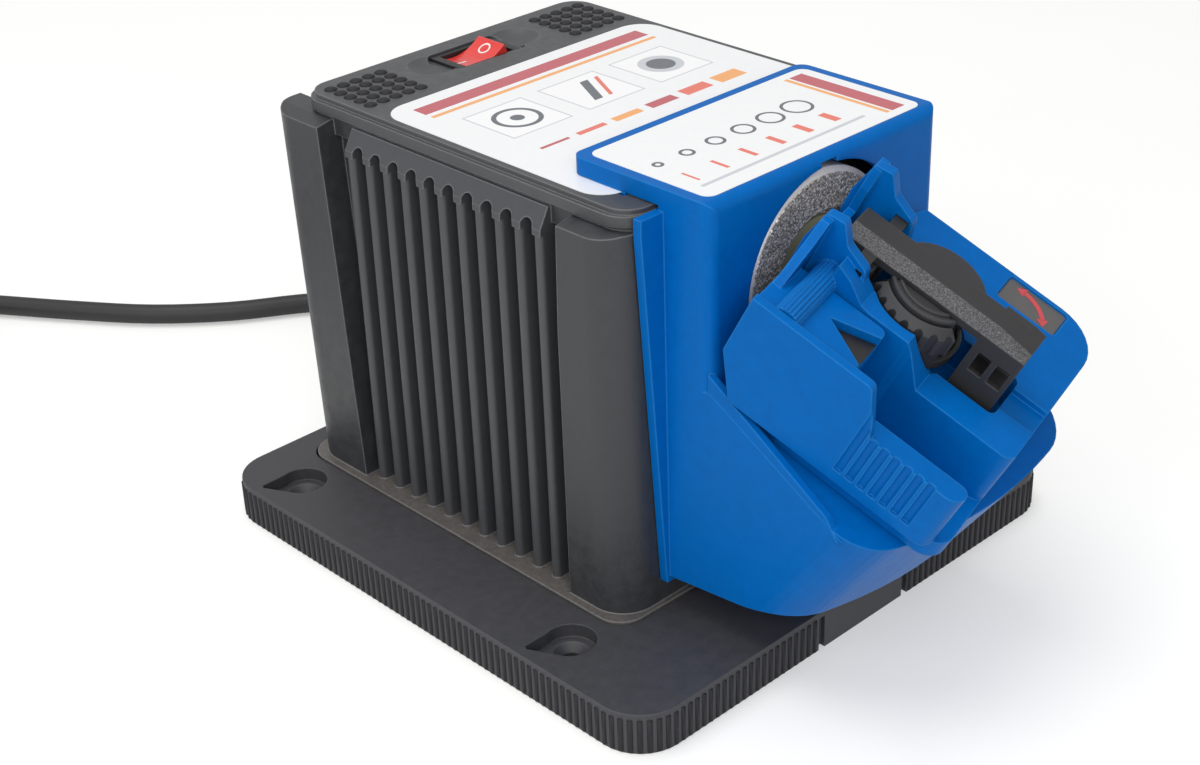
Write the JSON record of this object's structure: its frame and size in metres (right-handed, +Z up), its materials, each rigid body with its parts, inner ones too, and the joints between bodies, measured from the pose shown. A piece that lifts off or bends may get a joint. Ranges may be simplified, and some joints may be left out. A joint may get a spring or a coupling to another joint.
{
  "type": "electric multipurpose sharpener",
  "caption": "Bench sharpener: ribbed motor housing on a screw-down base, with a slide-on drill head that has a swinging block, a cam ring clamp and a face grinding wheel.",
  "frame": {"origin": "middle of the base plate on its underside", "axes": "+Z up, -Y towards the drill head, +X to the right seen from the head"},
  "size_m": [0.2927, 0.4523, 0.132],
  "materials": {
    "black_plastic": "fine textured",
    "blue_plastic": "satin moulded",
    "clamp_plastic": "matt speckled",
    "red_plastic": "gloss",
    "rubber": "matt",
    "cord_rubber": "satin",
    "steel": "plated",
    "magnet": "matt",
    "carbon": "matt",
    "copper": "bright",
    "fan_plastic": "satin",
    "board": "satin",
    "grit": "sparkling grit",
    "brass": "satin"
  },
  "bodies": {
    "frame": {"base_plate": "black_plastic", "rubber_feet": "rubber", "base_screws": "steel", "housing": "black_plastic", "switch_body": "black_plastic", "switch_terminals": "copper", "motor_can": "steel", "motor_magnets": "magnet", "motor_end_bell": "black_plastic", "motor_brushes": "carbon", "front_bearing": "steel", "rear_bearing": "steel", "motor_bracket": "black_plastic", "motor_cradle": "black_plastic", "motor_screws": "steel", "rectifier_board": "board", "board_parts": "carbon", "cord_gland": "cord_rubber", "cord_clamp": "clamp_plastic", "head_cover": "blue_plastic", "head_lugs": "blue_plastic", "swing_pin": "steel", "power_cord": "cord_rubber", "cord_coil": "cord_rubber", "cord_tail": "cord_rubber", "cord_tie": "cord_rubber", "mains_plug": "cord_rubber", "plug_pins": "brass"},
    "rotor": {"motor_shaft": "steel", "armature_core": "steel", "armature_windings": "copper", "commutator": "copper", "cooling_fan": "fan_plastic", "wheel_flange": "steel", "grinding_wheel": "grit", "wheel_washer": "carbon", "wheel_nut": "brass"},
    "rocker": {"switch_rocker": "red_plastic"},
    "block": {"drill_block": "blue_plastic", "window_plate": "clamp_plastic", "ring_retainer": "clamp_plastic", "clamp_frame": "clamp_plastic", "clamp_screws": "steel"},
    "ring": {"clamp_ring": "clamp_plastic"},
    "left_jaw": {"jaw_left": "clamp_plastic"},
    "right_jaw": {"jaw_right": "clamp_plastic"}
  },
  "joints": [
    {"name": "wheel_spin", "type": "hinge", "parent": "frame", "child": "rotor", "pos_m": [0, 0, 0.0995], "axis": [0, 1, 0], "continuous": true},
    {"name": "switch_rock", "type": "hinge", "parent": "frame", "child": "rocker", "pos_m": [0, 0.06, 0.121], "axis": [0, 1, 0], "range_deg": [0, 26]},
    {"name": "block_swing", "type": "hinge", "parent": "frame", "child": "block", "pos_m": [0, -0.087, 0.0737], "axis": [0, -0.4924, 0.8704], "range_deg": [-9, 5.5]},
    {"name": "clamp_turn", "type": "hinge", "parent": "block", "child": "ring", "pos_m": [0, -0.087, 0.0737], "axis": [0, -0.4924, 0.8704], "range_deg": [-12, 12]},
    {"name": "jaw_left_slide", "type": "slide", "parent": "block", "child": "left_jaw", "axis": [-0.9686, -0.2164, -0.1225], "range_m": [-0.00174, 0.00174]},
    {"name": "jaw_right_slide", "type": "slide", "parent": "block", "child": "right_jaw", "axis": [0.9686, 0.2164, 0.1225], "range_m": [-0.00176, 0.00176]}
  ],
  "couplings": [
    {"joint": "clamp_turn", "follows": "jaw_left_slide", "rad_per_m": 119.68},
    {"joint": "jaw_right_slide", "follows": "jaw_left_slide", "ratio": 1}
  ]
}
